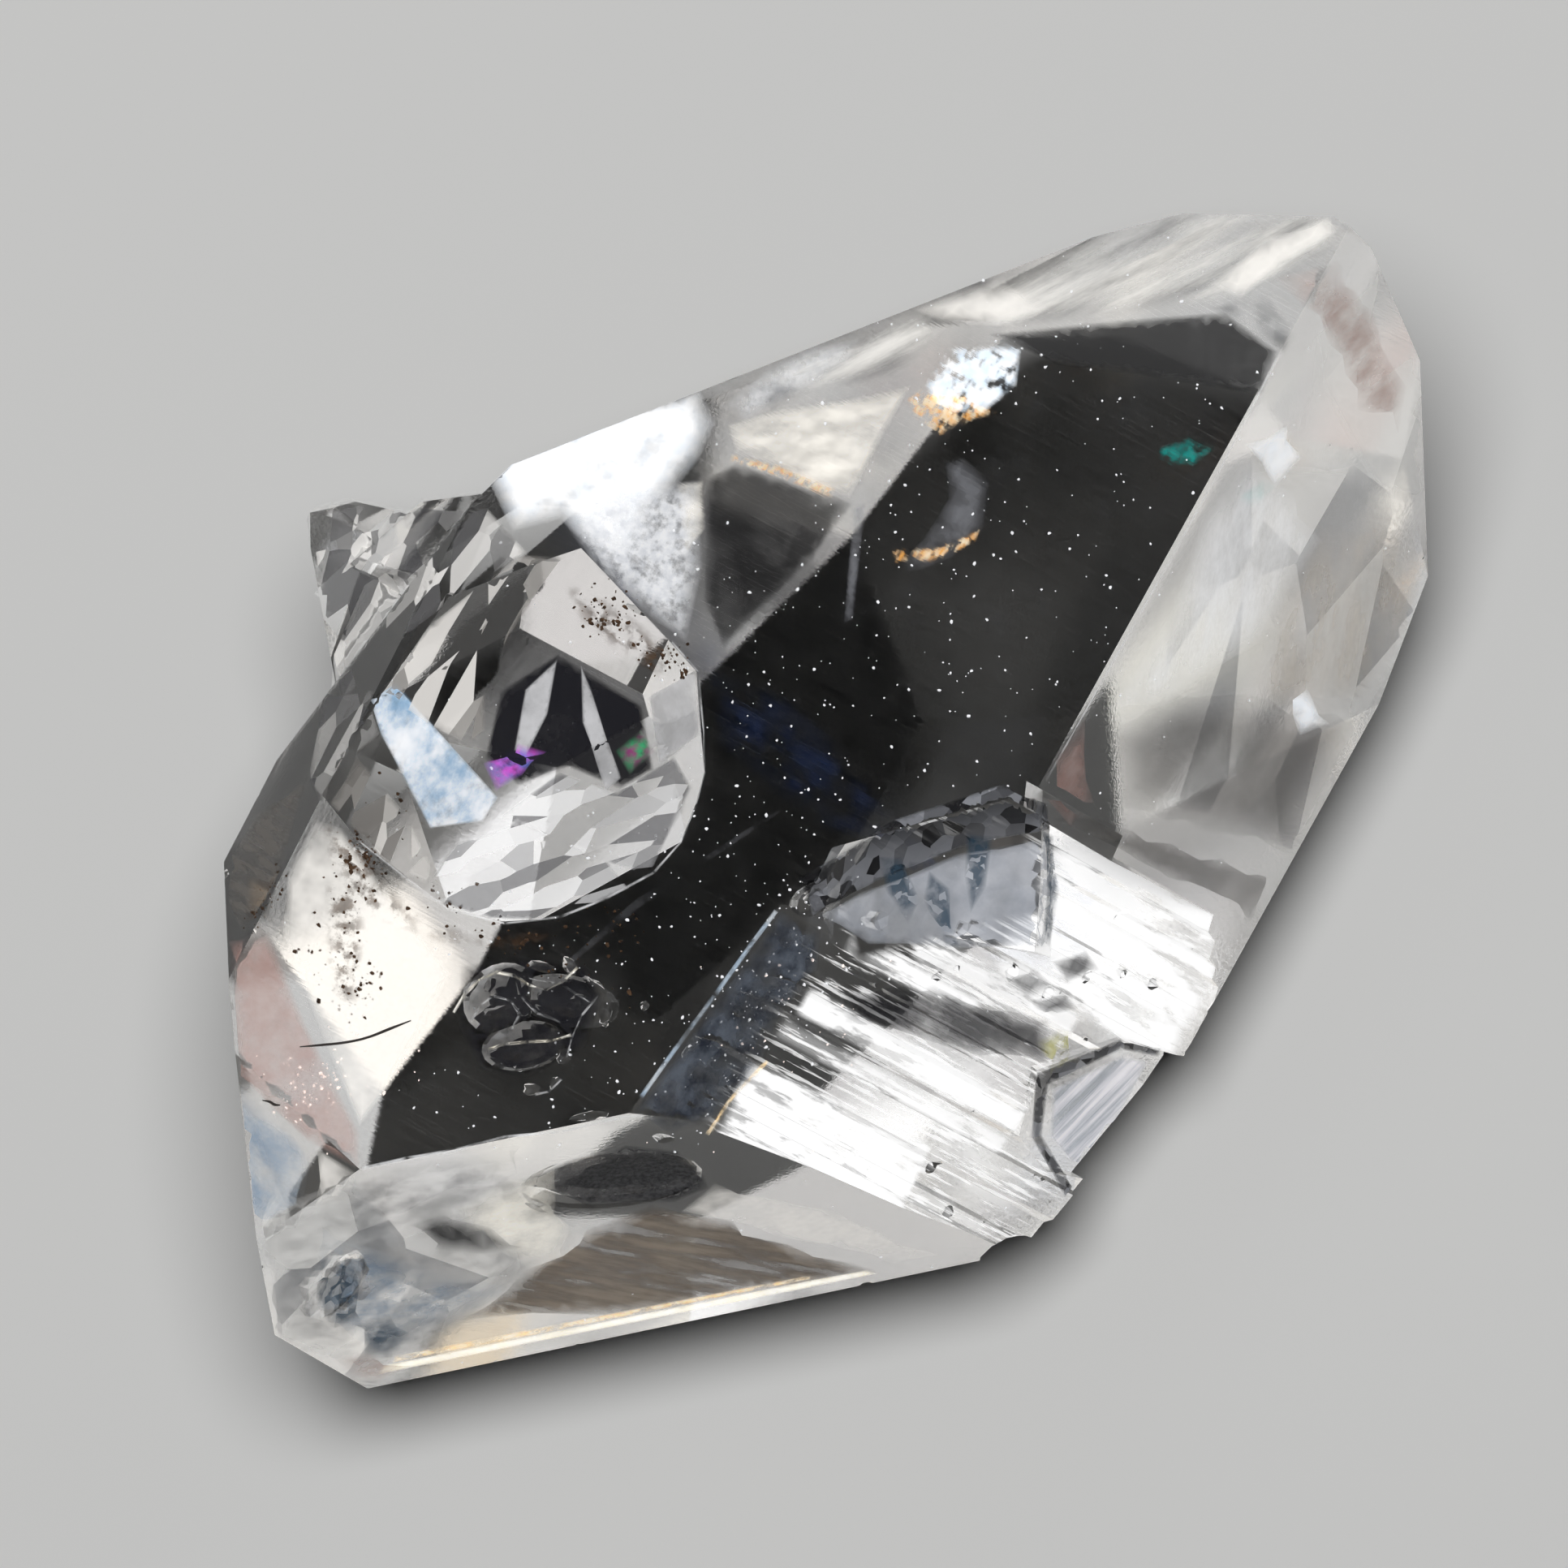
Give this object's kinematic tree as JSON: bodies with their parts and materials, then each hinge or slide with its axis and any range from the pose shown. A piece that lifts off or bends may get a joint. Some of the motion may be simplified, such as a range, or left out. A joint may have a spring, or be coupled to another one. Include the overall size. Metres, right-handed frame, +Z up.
{
  "type": "herkimer diamond",
  "caption": "Clear, doubly ended quartz crystal with sharp flat faces, a smaller crystal grown into one side, a striated face and natural chips.",
  "frame": {"origin": "centre of the bounding box, on the surface that the crystal lies on", "axes": "+Y along the crystal's long c-axis towards its sharper upper end, +Z up through the large front prism face, +X towards the striated right side"},
  "size_m": [0.0138, 0.0199, 0.0097],
  "materials": {
    "clear_quartz": "polished, natural crystal faces, finely striated on the lower right"
  },
  "bodies": {
    "root": {"quartz_crystal": "clear_quartz"}
  },
  "joints": []
}
